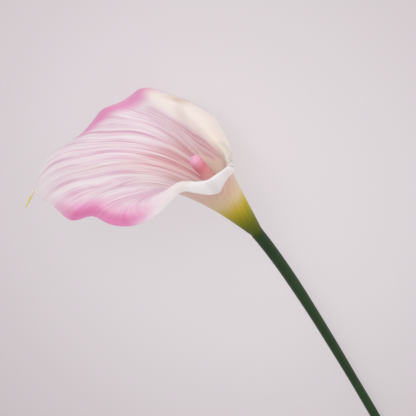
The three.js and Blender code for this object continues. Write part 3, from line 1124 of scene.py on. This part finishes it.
class CallaStageSettings(bpy.types.PropertyGroup):
    """The camera, the floor and the lights"""
    camera_distance: bpy.props.FloatProperty(
        name="Camera distance", description="From the camera to the middle of the flower",
        default=0.9, min=0.3, max=5, unit="LENGTH")
    floor_size: bpy.props.FloatProperty(
        name="Floor size", description="Side of the square floor",
        default=6, min=1, max=50, unit="LENGTH")
    floor_drop: bpy.props.FloatProperty(
        name="Floor drop", description="How far the leaf's lowest waves reach under the solids",
        default=1.3 * MILLIMETRE, min=0, max=0.01, unit="LENGTH", precision=4)
    # painted light: the floor colour inside a painted pool of light, the darker colour outside it,
    # and the pool's middle
    floor: colour_setting("Floor", "Pale paper under the flower", (140, 136, 138))
    floor_edge: colour_setting("Floor's edge", "Paper away from the bright place", (124, 119, 121))
    light_pool_middle: bpy.props.FloatVectorProperty(
        name="Bright place", description="Where the floor is brightest",
        size=2, default=(-0.078, 0.012), unit="LENGTH")
    glow: bpy.props.FloatProperty(
        name="Glow", description="Light that the paper gives by itself",
        default=2.05, min=0, max=5)
    key_power: bpy.props.FloatProperty(
        name="Key light", description="Power of the large soft light",
        default=4.4, min=0, max=1000, unit="POWER")
    fill_power: bpy.props.FloatProperty(
        name="Fill light", description="Power of the light from the right",
        default=2.7, min=0, max=1000, unit="POWER")
    sky_strength: bpy.props.FloatProperty(
        name="Sky", description="Strength of the even light from all round",
        default=0.6, min=0, max=5)


# Operators

class CALLA_OT_spathe(bpy.types.Operator):
    """Build the spathe: one rolled leaf with a waved rim and a thread-like tip"""
    bl_idname = "calla.spathe"
    bl_label = "Spathe"

    def execute(self, context):
        spathe_piece(context.scene.calla_spathe)
        return {"FINISHED"}


class CALLA_OT_spadix(bpy.types.Operator):
    """Build the spadix: the spike of tiny florets in the spathe's tube"""
    bl_idname = "calla.spadix"
    bl_label = "Spadix"

    def execute(self, context):
        spadix_piece(context.scene.calla_spadix)
        return {"FINISHED"}


class CALLA_OT_stem(bpy.types.Operator):
    """Build the stem: the smooth stalk, cut square"""
    bl_idname = "calla.stem"
    bl_label = "Stem"

    def execute(self, context):
        stem_piece(context.scene.calla_stem)
        return {"FINISHED"}


def picture_axes():
    """The camera's right, up and back in the row frame, as the columns of an array."""
    turn = lay_turn()
    back = unit(turn @ np.array(VIEW_BACK))
    right = unit(np.cross(turn @ np.array(VIEW_UP), back))
    return np.stack((right, np.cross(back, right), back), 1)


def add_floor(settings):
    """A square of paper under the flower's lowest waves."""
    half = settings.floor_size / 2
    low = -settings.floor_drop
    corners = [(-half, -half, low), (half, -half, low), (half, half, low), (-half, half, low)]
    mesh = bpy.data.meshes.new("floor")
    mesh.from_pydata(corners, [], [(0, 1, 2, 3)])
    mesh.materials.append(floor_finish(settings))
    floor = bpy.data.objects.new("floor", mesh)
    bpy.context.scene.collection.objects.link(floor)


def add_light(name, kind, power, middle, axes):
    """A soft round light that looks at the middle."""
    offset, size, tint = kind
    light = bpy.data.lights.new(name, "AREA")
    light.shape = "DISK"
    light.size = size
    light.energy = power
    light.color = tint
    lamp = bpy.data.objects.new(name, light)
    bpy.context.scene.collection.objects.link(lamp)
    place = middle + axes @ np.array(offset)
    lamp.location = place
    lamp.rotation_euler = (Vector(place) - Vector(middle)).to_track_quat("Z", "Y").to_euler()


def add_camera(settings, middle, axes):
    """The photograph's view: a frame of PICTURE_WIDTH at the flower's distance."""
    camera = bpy.data.cameras.new("camera")
    camera.sensor_width = SENSOR_WIDTH
    camera.lens = SENSOR_WIDTH * settings.camera_distance / (PICTURE_WIDTH * MILLIMETRE)
    camera.clip_start = 0.01
    camera.clip_end = 100
    viewer = bpy.data.objects.new("camera", camera)
    bpy.context.scene.collection.objects.link(viewer)
    place = middle + settings.camera_distance * axes[:, 2]
    viewer.matrix_world = Matrix.Translation(place) @ Matrix(axes.tolist()).to_4x4()
    bpy.context.scene.camera = viewer


class CALLA_OT_stage(bpy.types.Operator):
    """Add the floor, the soft lights and the camera"""
    bl_idname = "calla.stage"
    bl_label = "Studio"

    def execute(self, context):
        settings = context.scene.calla_stage
        axes = picture_axes()
        to_foot = axes @ np.array((*FOOT_IN_PICTURE, 0))
        middle = (np.array(LAY_AT) - to_foot) * MILLIMETRE
        add_floor(settings)
        add_light("key", KEY_LIGHT, settings.key_power, middle, axes)
        add_light("fill", FILL_LIGHT, settings.fill_power, middle, axes)

        world = bpy.data.worlds.new("studio air")
        world.use_nodes = True
        sky = world.node_tree.nodes["Background"]
        sky.inputs["Color"].default_value = linear(SKY)
        sky.inputs["Strength"].default_value = settings.sky_strength
        context.scene.world = world

        add_camera(settings, middle, axes)
        context.scene.view_settings.view_transform = "Standard"
        return {"FINISHED"}


class CALLA_PT_panel(bpy.types.Panel):
    """Lists the pieces of the calla lily and their settings"""
    bl_idname = "CALLA_PT_panel"
    bl_label = "Calla lily"
    bl_space_type = "VIEW_3D"
    bl_region_type = "UI"
    bl_category = "Calla lily"

    def draw(self, context):
        for operator, settings in STEPS:
            box = self.layout.box()
            box.operator(operator.bl_idname)
            group = getattr(context.scene, settings)
            for key in group.bl_rna.properties.keys():
                if key not in ("rna_type", "name"):
                    box.prop(group, key)


STEPS = (
    (CALLA_OT_stage, "calla_stage"),
    (CALLA_OT_spathe, "calla_spathe"),
    (CALLA_OT_spadix, "calla_spadix"),
    (CALLA_OT_stem, "calla_stem"),
)
GROUPS = {
    "calla_stage": CallaStageSettings,
    "calla_spathe": CallaSpatheSettings,
    "calla_spadix": CallaSpadixSettings,
    "calla_stem": CallaStemSettings,
}
CLASSES = (*GROUPS.values(), *(operator for operator, _ in STEPS), CALLA_PT_panel)


def register():
    """Makes the classes and their settings known to Blender."""
    for made in CLASSES:
        bpy.utils.register_class(made)
    for key, group in GROUPS.items():
        setattr(bpy.types.Scene, key, bpy.props.PointerProperty(type=group))


def unregister():
    """Takes the settings and the classes away again."""
    for key in GROUPS:
        delattr(bpy.types.Scene, key)
    for made in reversed(CLASSES):
        bpy.utils.unregister_class(made)


def main():
    """Registers the classes, then builds the studio and the three pieces."""
    register()
    for operator, _ in STEPS:
        group, name = operator.bl_idname.split(".")
        getattr(getattr(bpy.ops, group), name)()


if __name__ == "__main__":
    main()
